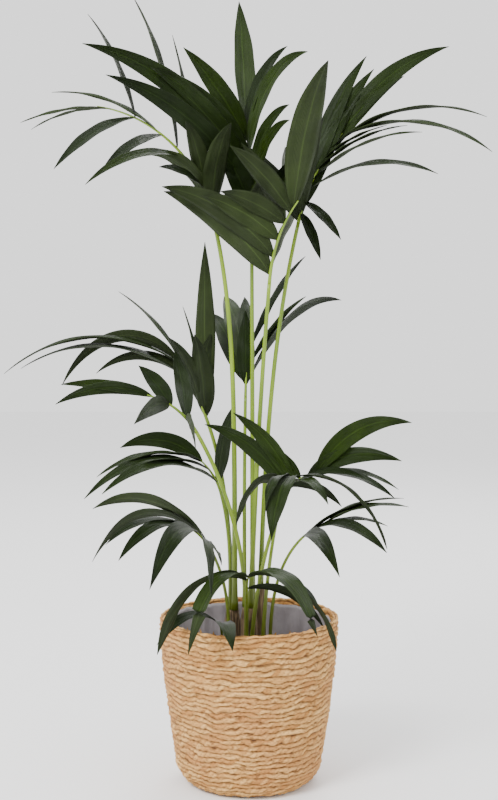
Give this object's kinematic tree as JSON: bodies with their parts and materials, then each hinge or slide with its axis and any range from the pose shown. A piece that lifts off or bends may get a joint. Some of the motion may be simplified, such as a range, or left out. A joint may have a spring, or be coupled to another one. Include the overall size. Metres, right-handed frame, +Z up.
{
  "type": "potted kentia palm",
  "caption": "Feather-leaved indoor palm with long slender stalks rising from short stems in a round woven basket.",
  "frame": {"origin": "centre of the basket's flat underside", "axes": "+Z up along the basket's axis, -Y towards the viewer of the picture, +X to the viewer's right"},
  "size_m": [0.6773, 0.414, 1.1052],
  "materials": {
    "straw": "woven twisted grass rope, matte",
    "liner": "thin wrinkled film",
    "soil": "loose potting soil",
    "sheath": "dry fibrous leaf sheath",
    "stalk": "smooth green stalk",
    "leaf": "dark green satin leaf"
  },
  "bodies": {
    "root": {"basket": "straw", "liner": "liner", "soil": "soil", "stem_left": "sheath", "stem_middle": "sheath", "stem_right": "sheath", "stalk_upper_left": "stalk", "stalk_top": "stalk", "stalk_upper_front": "stalk", "stalk_upper_right": "stalk", "stalk_middle_back": "stalk", "stalk_left_front": "stalk", "stalk_left_middle": "stalk", "stalk_left_lower": "stalk", "stalk_left_low": "stalk", "stalk_right_middle": "stalk", "stalk_right_hanging": "stalk", "stalk_right_low": "stalk", "stalk_front_low": "stalk", "stalk_front_small": "stalk", "frond_upper_left": "leaf", "frond_top": "leaf", "frond_upper_front": "leaf", "frond_upper_right": "leaf", "frond_middle_back": "leaf", "frond_left_front": "leaf", "frond_left_middle": "leaf", "frond_left_lower": "leaf", "frond_left_low": "leaf", "frond_right_middle": "leaf", "frond_right_hanging": "leaf", "frond_right_low": "leaf", "frond_front_low": "leaf", "frond_front_small": "leaf"}
  },
  "joints": []
}
